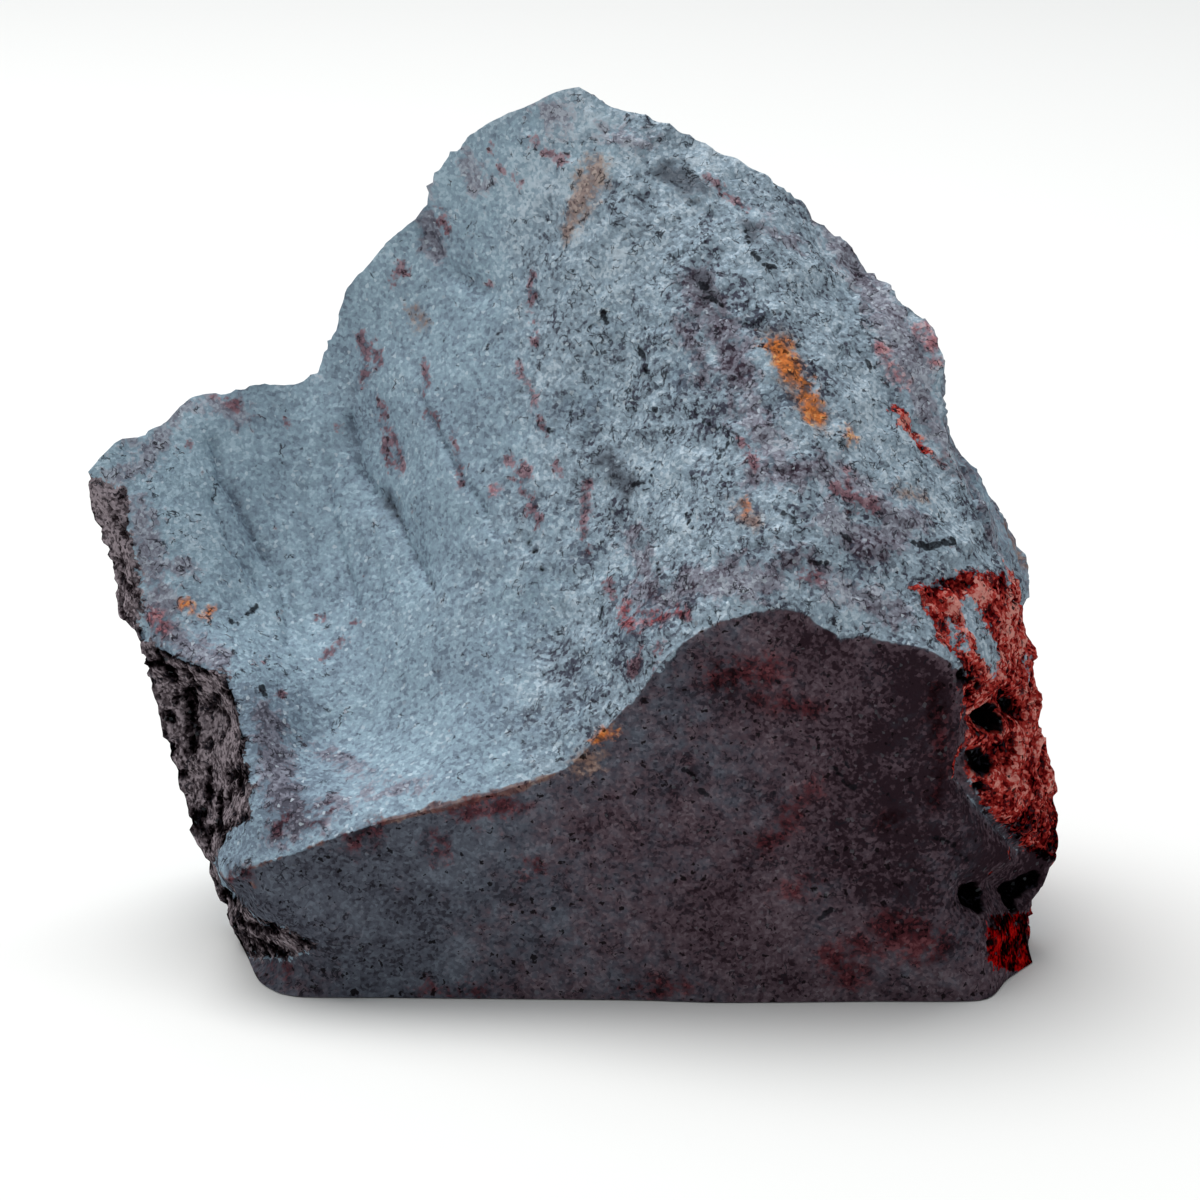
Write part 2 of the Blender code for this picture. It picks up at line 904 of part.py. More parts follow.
def roughen(bm, layer):
    """Broad lumps and small grit all over, as high as the smoothest face at each point allows."""
    bm.normal_update()
    shifts = []
    for vert in bm.verts:
        names = face_names(vert, layer)
        lump = min(ROUGHNESS[name][0] for name in names)
        grit = min(ROUGHNESS[name][1] for name in names)
        rise = lump * unevenness(vert.co, *LUMPS) + grit * unevenness(vert.co, *GRIT)
        shifts.append(vert.normal * rise)
    for vert, shift in zip(bm.verts, shifts):
        vert.co += shift


def stand_on_origin(bm):
    """Put the middle of the underside's box at the origin."""
    low = [min(v.co[k] for v in bm.verts) for k in range(3)]
    high = [max(v.co[k] for v in bm.verts) for k in range(3)]
    shift = Vector(((low[0] + high[0]) / 2, (low[1] + high[1]) / 2, low[2]))
    bmesh.ops.translate(bm, vec=-shift, verts=bm.verts)


def clear_scene():
    """Take away whatever the scene holds."""
    for thing in list(bpy.data.objects):
        bpy.data.objects.remove(thing, do_unlink=True)


def hematite_material():
    """Massive hematite: steel grey with a blue cast, dull, hardly metallic where it is broken."""
    material = bpy.data.materials.new("hematite")
    material.use_nodes = True
    shader = material.node_tree.nodes["Principled BSDF"]
    shader.inputs["Base Color"].default_value = HEMATITE_COLOUR
    shader.inputs["Roughness"].default_value = HEMATITE_ROUGHNESS
    shader.inputs["Metallic"].default_value = HEMATITE_METALLIC
    return material


def build_stone():
    """The closed and worked skin of the whole stone, in millimetres."""
    bm = build_skin()
    layer = bm.faces.layers.int["face"]
    dig_scars(bm, layer)
    work_front(bm, layer)
    roughen(bm, layer)
    return bm


def main():
    clear_scene()
    bm = build_stone()
    stand_on_origin(bm)
    bmesh.ops.scale(bm, vec=(MM, MM, MM), verts=bm.verts)
    mesh = bpy.data.meshes.new("hematite")
    bm.to_mesh(mesh)
    bm.free()
    mesh.materials.append(hematite_material())
    stone = bpy.data.objects.new("hematite", mesh)
    bpy.context.collection.objects.link(stone)


main()
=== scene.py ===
import math

import bpy
import numpy as np
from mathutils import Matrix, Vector, kdtree, noise
from mathutils.bvhtree import BVHTree


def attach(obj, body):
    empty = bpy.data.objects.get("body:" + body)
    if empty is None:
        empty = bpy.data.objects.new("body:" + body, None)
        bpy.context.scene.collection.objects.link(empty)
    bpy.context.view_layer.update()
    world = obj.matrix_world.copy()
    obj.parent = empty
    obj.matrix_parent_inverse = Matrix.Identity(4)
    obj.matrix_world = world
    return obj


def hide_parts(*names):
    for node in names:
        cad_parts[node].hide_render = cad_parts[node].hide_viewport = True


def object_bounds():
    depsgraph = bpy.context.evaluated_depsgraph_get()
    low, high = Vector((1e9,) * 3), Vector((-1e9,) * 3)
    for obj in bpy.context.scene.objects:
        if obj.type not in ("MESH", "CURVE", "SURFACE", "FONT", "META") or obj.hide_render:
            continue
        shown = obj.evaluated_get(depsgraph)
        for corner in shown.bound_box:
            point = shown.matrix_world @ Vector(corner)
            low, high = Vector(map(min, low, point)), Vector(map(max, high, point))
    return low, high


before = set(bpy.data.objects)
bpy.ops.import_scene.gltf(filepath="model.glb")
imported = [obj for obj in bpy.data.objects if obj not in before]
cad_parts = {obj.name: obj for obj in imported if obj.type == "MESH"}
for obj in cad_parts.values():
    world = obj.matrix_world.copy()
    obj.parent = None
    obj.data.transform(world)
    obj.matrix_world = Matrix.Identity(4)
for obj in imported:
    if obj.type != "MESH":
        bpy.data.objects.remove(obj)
solid_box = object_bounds()


# The stone: a hand-sized lump of massive hematite, one piece, broken off all round. Its upper face is
# a fresh, scooped break, its front is an older, dull one, and its two ends are rough and pitted.
# The solid's skin is rounded between its broken edges, which stay sharp.
MM = 0.001
WELD = 0.01 * MM
BROKEN_EDGE = math.radians(35)
ROUNDINGS = 2

bpy.ops.object.select_all(action="DESELECT")
stone = bpy.data.objects.new("hematite_stone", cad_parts["hematite"].data.copy())
bpy.context.collection.objects.link(stone)
bpy.context.view_layer.objects.active = stone
stone.select_set(True)
bpy.ops.mesh.customdata_custom_splitnormals_clear()
bpy.ops.object.mode_set(mode="EDIT")
bpy.ops.mesh.select_mode(type="EDGE")
bpy.ops.mesh.select_all(action="SELECT")
bpy.ops.mesh.remove_doubles(threshold=WELD)
bpy.ops.mesh.select_all(action="DESELECT")
bpy.ops.mesh.edges_select_sharp(sharpness=BROKEN_EDGE)
bpy.ops.transform.edge_crease(value=1.0)
bpy.ops.mesh.mark_seam()
bpy.ops.object.mode_set(mode="OBJECT")
rounding = stone.modifiers.new("rounding", "SUBSURF")
rounding.levels = rounding.render_levels = ROUNDINGS
bpy.ops.object.modifier_apply(modifier=rounding.name)

# The skin as lists of places and of directions that face out of the stone, in millimetres.
count = len(stone.data.vertices)
places = np.empty(count * 3)
stone.data.vertices.foreach_get("co", places)
places = places.reshape(-1, 3) / MM
outwards = np.empty(count * 3)
stone.data.vertex_normals.foreach_get("vector", outwards)
outwards = outwards.reshape(-1, 3)
points = [Vector(place) for place in places]
quads = [tuple(quad.vertices) for quad in stone.data.polygons]
skin = BVHTree.FromPolygons(points, quads)
points_near = kdtree.KDTree(count)
for index, point in enumerate(points):
    points_near.insert(point, index)
points_near.balance()

# Where things lie on the front is told as it looks to an eye 400 mm before the stone's foot and a
# little above it: how far across from the middle of the foot, and how far up from it.
LOOK_DOWN = math.radians(15)
EYE_DISTANCE = 400.0
EYE_ACROSS = 2.1
EYE_UP = 32.0
FOOT_BEHIND_FRONT = 5.6

stone_low, stone_high = (Vector(corner) / MM for corner in solid_box)
foot = Vector((0.0, stone_low.y + FOOT_BEHIND_FRONT, 0.0))
look = Vector((0.0, math.cos(LOOK_DOWN), -math.sin(LOOK_DOWN)))
rise = Vector((0.0, math.sin(LOOK_DOWN), math.cos(LOOK_DOWN)))
eye = foot + Vector((EYE_ACROSS, 0.0, 0.0)) + rise * EYE_UP - look * EYE_DISTANCE

from_eye = places - np.array(eye)
shrink = EYE_DISTANCE / (from_eye @ np.array(look))
across = EYE_ACROSS + from_eye[:, 0] * shrink
up = EYE_UP + (from_eye @ np.array(rise)) * shrink
faces_eye = -(outwards * from_eye).sum(1) / np.linalg.norm(from_eye, axis=1)


def smooth(value, start, end):
    """Nought before the start, one past the end, and an even passage between them."""
    share = np.clip((value - start) / (end - start), 0, 1)
    return share * share * (3 - 2 * share)


def on_skin(place):
    """The place on the stone that looks to the eye to be at across and up."""
    ray = look * EYE_DISTANCE + rise * (place[1] - EYE_UP)
    ray.x += place[0] - EYE_ACROSS
    hit = skin.ray_cast(eye, ray)[0]
    return hit or skin.find_nearest(eye + ray)[0]


# A run of points is followed in steps of this many millimetres.
STEP = 0.5


def along(run):
    """Places on the skin, a step apart, along a run of points across and up."""
    found = [on_skin(run[0])]
    for start, end in zip(run, run[1:]):
        pieces = max(1, round(math.dist(start, end) / STEP))
        for k in range(1, pieces + 1):
            share = k / pieces
            found.append(on_skin([a + (b - a) * share for a, b in zip(start, end)]))
    return found


# How far outside a mark its edge is still felt, in millimetres, for stains with ragged edges.
FADE = 1.6


def inside(marks):
    """How deep inside the nearest of some marks each point lies, in millimetres, from minus FADE up.

    A mark is half its width and then the points across and up that it runs through."""
    depth = np.full(count, -FADE)
    for half_width, *run in marks:
        for place in along(run):
            for _, index, gap in points_near.find_range(place, half_width + FADE):
                depth[index] = max(depth[index], half_width - gap)
    return depth


def within(outline):
    """Which points look to the eye to lie inside a closed outline of points across and up."""
    odd = np.zeros(count, bool)
    for (a, b), (c, d) in zip(outline, [*outline[1:], outline[0]]):
        crosses = (b > up) != (d > up)
        odd ^= crosses & (across < a + (up - b) * (c - a) / (d - b or 1))
    return odd


# Skin that is seen this nearly edge on is no longer the front.
EDGE_ON = 0.1


def region(line, *beyond):
    """How deep each point of the front lies inside a line, in millimetres, up to FADE.

    The line is closed by itself, or by points beyond the stone's outline."""
    gap = -inside([(0.0, *line) if beyond else (0.0, *line, line[0])])
    return np.where(within([*line, *beyond]) & (faces_eye > EDGE_ON), gap, -gap)


def lumps(width, sizes=3, stretch=(1, 1, 1)):
    """Natural unevenness between about minus one and one, as wide as given.

    On it lie finer sizes, each half as wide and half as high as the one before."""
    scaled = places / (np.array(stretch) * width)
    return np.array([noise.fractal(Vector(p), 1.0, 2.0, sizes) for p in scaled])


# Sets the tilt of each chip apart from those of the chips round it.
JUMBLE = 7.3


def chips(width):
    """Little broken faces of a width, each flat and tilted its own way, up and down by about one."""
    heights = np.empty(count)
    for index, place in enumerate(places / width):
        middle = noise.voronoi(Vector(place))[1][0]
        tilt = noise.cell_vector(middle * JUMBLE) - Vector((0.5, 0.5, 0.5))
        heights[index] = (Vector(place) - middle).dot(tilt) * 2
    return heights


# The long edge between the upper face and the front, which swings down to the left like a flat S.
GREAT_EDGE = [
    (-28.0, 9.3),
    (-25.2, 10.8),
    (-21.6, 12.0),
    (-17.2, 13.6),
    (-9.1, 15.8),
    (-0.6, 18.4),
    (1.6, 20.6),
    (5.5, 24.6),
    (9.2, 28.8),
    (11.6, 30.1),
    (14.7, 31.0),
    (16.7, 31.4),
    (19.7, 30.0),
    (21.6, 29.1),
    (25.8, 28.5),
    (28.4, 28.1),
    (30.8, 26.6),
]

# The old front is what lies below it, as far as the groove that parts it from the red end and the
# pitted wedge at the left.
OLD_FRONT = [
    *GREAT_EDGE,
    (31.9, 24.8),
    (31.3, 21.2),
    (31.7, 17.2),
    (34.0, 14.6),
    (35.9, 12.6),
    (39.0, 11.0),
    (38.0, -4.0),
    (-32.0, -4.0),
    (-30.0, 5.0),
    (-26.0, 3.4),
    (-22.8, 3.2),
    (-20.5, 4.2),
    (-23.2, 5.8),
    (-25.4, 6.6),
]

# The rim itself is the run of sharp edges that lies close to its line, and five points further down
# the right end.
RIM_POINTS = len(GREAT_EDGE) + 5
RIM_REACH = 1.5
near_edge = inside([(RIM_REACH, *OLD_FRONT[:RIM_POINTS])]) > 0
sharp = [edge.vertices for edge in stone.data.edges if edge.use_seam]
rim = sorted({index for ends in sharp for index in ends if near_edge[index]})
rim_places = kdtree.KDTree(len(rim))
for number, index in enumerate(rim):
    rim_places.insert(points[index], number)
rim_places.balance()
from_rim = np.array([rim_places.find(point)[2] for point in points])
below_edge = np.where(within(OLD_FRONT), from_rim, -from_rim)

# Dark pitted rock, where the left end broke through a porous part: a narrow strip above, a hollow in
# the middle and a wedge that runs in below the great edge.
PITTED_ROCK = [
    (-38.8, 42.0),
    (-35.8, 41.0),
    (-35.2, 36.5),
    (-34.4, 33.0),
    (-34.8, 30.4),
    (-34.4, 28.9),
    (-30.8, 26.9),
    (-28.0, 26.2),
    (-26.8, 22.6),
    (-26.1, 20.2),
    (-25.9, 14.6),
    (-27.8, 13.4),
    (-28.9, 10.8),
    (-28.0, 9.0),
    (-25.4, 6.6),
    (-23.2, 5.8),
    (-20.5, 4.2),
    (-22.8, 3.2),
    (-26.0, 3.4),
    (-29.6, 4.8),
]

# Red rock: the right end broke through earthy red hematite, rough and fibrous, with an island of the
# grey ore left in it. Under it, a small facet by the foot is a deep, clean red.
RED_ROCK = [
    (36.2, 28.8),
    (34.8, 32.8),
    (34.2, 34.0),
    (31.7, 34.4),
    (29.2, 33.5),
    (27.2, 33.1),
    (28.6, 29.8),
    (30.2, 27.8),
    (31.6, 26.2),
    (31.0, 25.0),
    (31.5, 21.8),
    (31.2, 18.6),
    (32.5, 15.8),
    (34.4, 13.9),
    (36.6, 11.7),
    (38.4, 11.2),
]
RED_VEIN = [(0.5, (25.8, 47.3), (26.8, 45.8), (28.2, 44.2))]
GREY_ISLAND = [
    (1.1, (31.8, 31.0), (32.9, 28.6), (33.6, 27.2)),
    (0.4, (30.0, 30.4), (31.0, 28.4)),
    (0.4, (36.0, 27.2), (36.2, 26.0)),
]
DEEP_RED = [(33.2, 6.8), (38.0, 7.2), (38.0, 2.6), (35.0, 2.2), (33.2, 3.0)]

# A smooth lobe of the back shows beyond the upper face, at the right.
BACK_LOBE = [(30.2, 45.4), (32.1, 40.0), (34.2, 35.2), (35.6, 30.6)]


def far_from(chosen):
    """How far each point is from the nearest of the chosen points, in millimetres."""
    chosen_points = kdtree.KDTree(int(chosen.sum()))
    for index in np.flatnonzero(chosen):
        chosen_points.insert(points[index], index)
    chosen_points.balance()
    return np.array([chosen_points.find(point)[2] for point in points])


# How wide the unevenness of its far edge is, and how fast it ends there and at its top.
ROUND_LUMPS = 7.0
ROUND_FADE = 0.4
TOP_FADE = 0.5


def carried_round(depth, reach, top):
    """Lets a kind of rock go on, ragged, round the sides that the eye doesn't see, up to a top."""
    reach_here = reach * (0.8 + lumps(ROUND_LUMPS))
    beyond = np.clip(ROUND_FADE * (reach_here - far_from(depth > 0)), -FADE, FADE)
    carried = np.where(faces_eye < EDGE_ON, np.maximum(depth, beyond), depth)
    return np.minimum(carried, TOP_FADE * (top - up))


# Outlines are closed left and right of the whole stone. Each kind of rock has its own top and reach
# round the side, and begins over about a millimetre. The scoop is affected some way from the hollow.
LEFT_OF_IT = -45.0
RIGHT_OF_IT = 45.0
PITTED_TOP = 42.0
PITTED_ROUND = 6.0
RED_TOP = 34.5
RED_ROUND = 7.0
ROCK_EDGE = (-0.8, 0.6)
BY_PITTED = (1.0, 12.0)
pitted_here = region(PITTED_ROCK, (LEFT_OF_IT, 4.8), (LEFT_OF_IT, PITTED_TOP))
by_pitted = 1 - smooth(far_from(pitted_here > 0), *BY_PITTED)
pitted_rock = carried_round(pitted_here, PITTED_ROUND, PITTED_TOP)
red_here = np.minimum(region(RED_ROCK, (RIGHT_OF_IT, 11.0), (RIGHT_OF_IT, 29.0)), -inside(GREY_ISLAND))
red_rock = np.maximum(carried_round(red_here, RED_ROUND, RED_TOP), inside(RED_VEIN))
deep_red = region(DEEP_RED)
back_lobe = region(BACK_LOBE, (RIGHT_OF_IT, 30.0), (RIGHT_OF_IT, 46.0))
pitted_share = smooth(pitted_rock, *ROCK_EDGE)
red_share = smooth(red_rock, *ROCK_EDGE)

# Hollows and pits that are pressed in and painted black inside, which is painted shade; one is the
# shadow line under the ledge over the deep red facet. Half width, across and up.
BLACK_PITS = [
    (1.1, (32.6, 22.8), (33.4, 22.4)),
    (1.0, (32.0, 19.4), (32.8, 18.8)),
    (0.6, (34.4, 24.0), (35.2, 23.6)),
    (1.2, (31.8, 8.4), (32.4, 8.0)),
    (0.9, (34.6, 8.6), (36.8, 9.6)),
    (0.8, (35.0, 7.6)),
    (0.5, (-27.8, 8.6), (-26.8, 7.8)),
    (0.2, (-3.6, 36.6), (-3.2, 36.0)),
    (0.1, (-3.0, 35.4), (-2.3, 34.0)),
    (0.35, (33.4, 4.6), (36.4, 4.5)),
    (0.4, (35.0, 32.0), (35.8, 30.6)),
    (0.4, (30.9, 26.0), (32.2, 25.2)),
    (0.4, (32.4, 17.0)),
]
PIT_LUMPS = 1.2
PIT_RAGGED = 0.35
black_pits = inside(BLACK_PITS) + PIT_RAGGED * lumps(PIT_LUMPS)

# Grooves of the break: half width, depth and the points across and up. Where the lump split, hackle
# marks ran down the scoop from the upper left.
GROOVES = [
    (0.6, 0.30, (-12.3, 62.2), (-9.8, 58.2), (-7.2, 56.8)),
    (0.4, 0.42, (-28.8, 44.5), (-28.1, 41.7), (-26.9, 40.0), (-25.7, 37.4), (-24.7, 35.4)),
    (0.35, 0.28, (-24.7, 35.4), (-23.6, 34.1), (-23.0, 31.0), (-22.8, 28.6)),
    (0.4, 0.28, (-28.8, 40.0), (-27.1, 35.8), (-25.0, 33.0)),
    (0.4, 0.42, (-18.0, 46.6), (-17.0, 42.4), (-16.0, 40.7), (-14.7, 39.6), (-13.9, 37.9)),
    (0.35, 0.34, (-13.9, 37.9), (-12.8, 35.4), (-11.4, 33.0)),
    (0.9, 0.30, (-15.4, 40.0), (-14.4, 39.0)),
    (0.35, 0.30, (-12.5, 48.6), (-10.8, 45.2), (-9.4, 42.4), (-7.6, 40.0), (-6.2, 37.2)),
    (0.4, 0.26, (-19.6, 43.0), (-19.4, 39.0), (-18.0, 33.7), (-17.4, 31.4)),
    (0.35, 0.22, (-16.3, 38.0), (-15.3, 32.3)),
    (0.4, 0.2, (-21.6, 41.0), (-20.6, 34.0)),
    (0.35, 0.2, (-22.8, 33.6), (-21.2, 28.6)),
    (0.5, 0.35, (30.2, 45.4), (32.1, 40.0), (34.2, 35.2), (35.6, 30.6)),
]
grooved = np.zeros(count)
for half_width, depth, *run in GROOVES:
    gap = -inside([(0.0, *run)])
    grooved = np.maximum(grooved, depth * np.exp(-((gap / half_width) ** 2)))

# Fine hackle lines, which run down from the upper left and bend until they are upright.
LINES_UPRIGHT_AT = 27.0
LINE_BEND = 0.0167
LINE_WIDTH = 1.3
LINE_LENGTH = 16.0
rising = np.maximum(up - LINES_UPRIGHT_AT, 0)
along_line = np.stack([(across + LINE_BEND * rising**2) / LINE_WIDTH, up / LINE_LENGTH, 0 * up], 1)
hackle_lines = np.array([noise.fractal(Vector(p), 1.0, 2.0, 2) for p in along_line])
scooped = smooth(across, -36, -30) * (1 - smooth(across, -12, -2))
scooped *= smooth(up, 22, 30) * (1 - smooth(up, 50, 58))

# How far each place is a fresh break, the old front, or a side that the eye doesn't see.
front = smooth(faces_eye, 0.05, 0.3)
fresh = smooth(-below_edge, 0.0, 1.5) * front
old = smooth(below_edge, 0.0, 1.5) * front
hidden = 1 - front


def scoops(width):
    """Shell shaped scars of a width, side by side, from nought in their middles to ridges of about one."""
    return np.array([noise.voronoi(Vector(place))[0][0] ** 2 * 2 for place in places / width])


# The fresh break grows rougher to the right, the outline is chipped, and the back, which begins a few
# millimetres behind the outline, has wide flake scars. The two ends are ragged.
grainier = smooth(across, -12, 6) * (1 - smooth(back_lobe, -0.5, 0.5))
grainy_break = fresh * grainier
near_outline = (1 - smooth(np.abs(faces_eye), 0.1, 0.5)) * smooth(up, 12, 18)
near_outline *= (1 - pitted_share) * (1 - red_share)
hidden_grey = hidden * (1 - red_share)
behind = smooth(far_from(faces_eye > 0), 0.5, 8.0)
back = behind * hidden_grey
fine = lumps(1.3)
fibres = lumps(1.1, 3, (1, 1, 2.2))
burrows = lumps(1.1, 3, (1, 2.4, 1.4))

# Relief: its height in millimetres, its pattern, with a width in millimetres, and where it lies.
RELIEF = [
    (-1.4, grooved, 1),
    (0.1, hackle_lines, scooped * fresh),
    (0.05, fine, fresh),
    (0.12, fine, grainy_break),
    (0.04, fine, old),
    (0.12, fine, hidden_grey),
    (0.5, chips(3.2), near_outline),
    (0.3, chips(1.5), near_outline),
    (0.25, scoops(2.8) - 0.4, grainy_break),
    (0.16, lumps(4.5), fresh * (0.2 + 0.8 * grainier)),
    (1.0, chips(2.4), fresh * (0.02 + 0.26 * grainier)),
    (0.1, chips(4.0), old * grainier),
    (0.7, scoops(12.0) - 0.7, back),
    (0.4, scoops(5.0) - 0.6, back),
    (0.2, chips(2.2), back),
    (0.4, lumps(2.4, 4), red_share),
    (0.55, chips(2.0), red_share),
    (0.3, fibres, red_share),
    (0.2, burrows, pitted_share),
    (-0.5, smooth(burrows, -0.05, 0.4), pitted_share),
    (-0.7, smooth(black_pits, -0.2, 0.8), 1),
]
relief = sum(height * pattern * share for height, pattern, share in RELIEF)

# It dies away at the flat foot, the peak and the rim, and nothing stands out of the solid's box.
FOOT_CALM = 1.2
PEAK_CALM = 2.5
RIM_CALM = (0.2, 1.4)
ROOM_TAKEN = 0.7
relief *= smooth(places[:, 2], 0.0, FOOT_CALM)
relief *= 1 - smooth(places[:, 2], stone_high.z - PEAK_CALM, stone_high.z)
relief *= 1 - (0.75 - 0.4 * grainier) * (1 - smooth(from_rim, *RIM_CALM))
room_below = (places - np.array(stone_low))[:, :2].min(1)
room_above = (np.array(stone_high) - places).min(1)
relief = np.minimum(relief, ROOM_TAKEN * np.minimum(room_below, room_above))
places += outwards * relief[:, None]
places = np.clip(places, stone_low, stone_high)
stone.data.vertices.foreach_set("co", (places * MM).ravel())
stone.data.update()
FACET_EDGE = math.radians(40)
bpy.ops.mesh.customdata_custom_splitnormals_clear()
bpy.ops.object.shade_smooth_by_angle(angle=FACET_EDGE)

# Stains and marks that are only colour: half width, across and up. Red ochre lies in thin broken
# streaks and specks.
OCHRE = [
    (0.3, (-6.6, 68.2), (-5.9, 66.6), (-4.3, 65.4)),
    (0.25, (-3.1, 69.2), (-2.2, 67.8)),
    (0.35, (-1.8, 67.6), (-0.8, 67.2)),
    (0.3, (10.6, 65.8), (12.6, 64.2), (14.0, 63.4)),
    (0.3, (-11.0, 63.4), (-10.2, 61.6)),
    (0.3, (-7.4, 57.4), (-6.8, 57.2)),
    (0.3, (-13.6, 58.6), (-14.8, 57.3)),
    (0.2, (-3.2, 57.9), (-3.4, 55.0), (-3.0, 52.8)),
    (0.4, (-17.0, 53.0), (-16.5, 50.9), (-16.9, 49.6)),
    (0.4, (-16.2, 52.4), (-15.5, 51.0)),
    (0.3, (-15.4, 48.0), (-15.0, 46.6)),
    (0.55, (-15.4, 46.2), (-14.4, 44.8)),
    (0.55, (-15.2, 44.8), (-14.6, 43.2)),
    (0.3, (-14.2, 44.6), (-13.8, 42.6)),
    (0.2, (-11.9, 51.4), (-11.7, 49.4), (-12.1, 48.3)),
    (0.25, (-11.7, 47.0), (-10.9, 46.3)),
    (0.25, (-9.8, 45.0), (-9.3, 43.6)),
    (0.25, (-9.1, 42.6), (-8.9, 41.4)),
    (0.2, (-4.5, 50.8), (-3.6, 49.2), (-3.0, 47.4), (-2.3, 45.4)),
    (0.5, (-5.1, 43.0), (-3.7, 42.0)),
    (0.3, (-4.3, 41.6), (-3.9, 40.2)),
    (0.45, (-3.6, 39.6), (-2.7, 38.2)),
    (0.2, (-1.4, 42.8), (-0.9, 41.6)),
    (0.35, (1.2, 41.2), (0.9, 38.6)),
    (0.3, (0.9, 38.2), (0.7, 36.8)),
    (0.4, (1.0, 36.0)),
    (0.3, (2.8, 33.4), (3.3, 32.2)),
    (0.5, (3.9, 31.2), (4.6, 29.4)),
    (0.4, (5.0, 31.0), (6.4, 30.8)),
    (0.5, (5.0, 27.8), (4.8, 26.2)),
    (0.4, (8.2, 31.4), (9.0, 30.6)),
    (0.3, (6.9, 28.4), (6.4, 26.8)),
    (0.6, (21.3, 41.0), (23.7, 39.6)),
    (0.3, (21.8, 42.2), (22.6, 39.0)),
    (0.6, (18.4, 34.4), (19.4, 33.8)),
    (0.35, (13.6, 44.6), (14.4, 43.0)),
    (0.3, (-20.4, 30.5)),
    (0.25, (-17.5, 30.2)),
    (0.2, (-20.3, 27.4), (-18.2, 28.6)),
    (0.3, (-30.8, 44.4)),
    (0.25, (-28.6, 48.4), (-27.0, 47.6)),
    (0.25, (-22.8, 46.1)),
    (0.25, (-18.9, 45.8)),
    (0.25, (-16.4, 34.0)),
    (0.3, (-23.6, 24.5)),
    (0.3, (-25.2, 27.2)),
    (0.25, (-23.8, 13.2), (-23.0, 15.0)),
    (0.25, (-21.2, 13.6), (-19.6, 15.4)),
]

# Crimson lies in the creases of the right crest, and in soft, blood dark patches on the old front.
CRIMSON = [
    (0.3, (29.0, 43.6), (30.6, 42.0)),
    (0.4, (-28.0, 9.6), (-26.2, 10.2)),
    (0.3, (-10.6, 15.2), (-9.0, 15.8)),
    (0.7, (-17.6, 12.6), (-16.2, 13.4)),
    (0.4, (-11.0, 13.0), (-10.8, 11.6)),
    (0.7, (-8.4, 15.2), (-5.0, 15.6)),
    (1.6, (25.6, 5.8), (27.0, 4.6)),
    (1.1, (26.8, 5.6), (29.0, 4.4)),
    (1.1, (20.6, 3.4), (22.2, 2.0)),
    (0.6, (22.4, 4.6), (24.0, 3.8)),
    (0.6, (15.3, 12.4), (18.1, 15.0)),
    (0.5, (17.4, 15.6), (19.6, 17.0)),
    (0.7, (25.3, 14.3)),
    (0.9, (11.6, 25.8), (16.1, 26.4)),
    (0.6, (14.6, 24.2), (19.0, 23.2)),
    (0.5, (16.8, 8.4), (19.0, 9.4)),
    (0.35, (-3.4, 10.4)),
    (0.35, (-12.3, 0.8), (-7.5, 0.8)),
    (0.4, (4.0, 1.0), (9.0, 0.8)),
    (0.4, (-24.4, 3.0), (-22.8, 2.2)),
    (0.5, (29.8, 18.6), (28.8, 16.0)),
    (0.7, (28.8, 24.4), (29.6, 19.4)),
]

# Limonite is orange, and tan clay lies round it and in a few patches of its own.
LIMONITE = [
    (0.9, (16.4, 52.2), (17.3, 50.6)),
    (0.6, (17.8, 50.0), (18.8, 48.2)),
    (0.7, (18.9, 47.6), (19.4, 46.8)),
    (0.35, (21.8, 45.5), (22.2, 44.9)),
    (0.2, (13.8, 39.4)),
    (0.25, (-30.9, 31.7), (-30.4, 31.2)),
    (0.3, (-29.2, 31.2)),
    (0.35, (2.2, 20.9), (2.9, 21.4)),
]
TAN_CLAY = [
    (1.2, (1.7, 66.4), (0.5, 63.6)),
    (0.7, (0.1, 63.0), (-0.4, 61.6)),
    (0.5, (-12.5, 55.2), (-12.3, 54.0)),
    (0.5, (28.2, 40.2), (26.5, 40.6)),
    (0.6, (13.2, 39.6), (14.4, 38.4)),
    (1.2, (16.4, 52.6), (17.4, 49.8), (19.4, 46.6)),
    (0.8, (0.6, 18.8), (1.6, 19.4)),
    (0.5, (34.6, 37.6), (36.0, 35.0)),
]

# Rose, where the ochre is powdery.
ROSE = [
    (0.5, (-33.4, 30.8), (-32.8, 29.8)),
    (0.25, (-6.2, 40.8)),
    (0.45, (24.6, 52.0), (25.4, 50.4), (26.6, 49.0)),
    (0.3, (28.2, 54.6), (28.9, 51.2)),
    (0.4, (3.9, 31.4), (4.6, 29.8)),
    (0.35, (5.2, 30.2), (8.6, 31.0)),
]

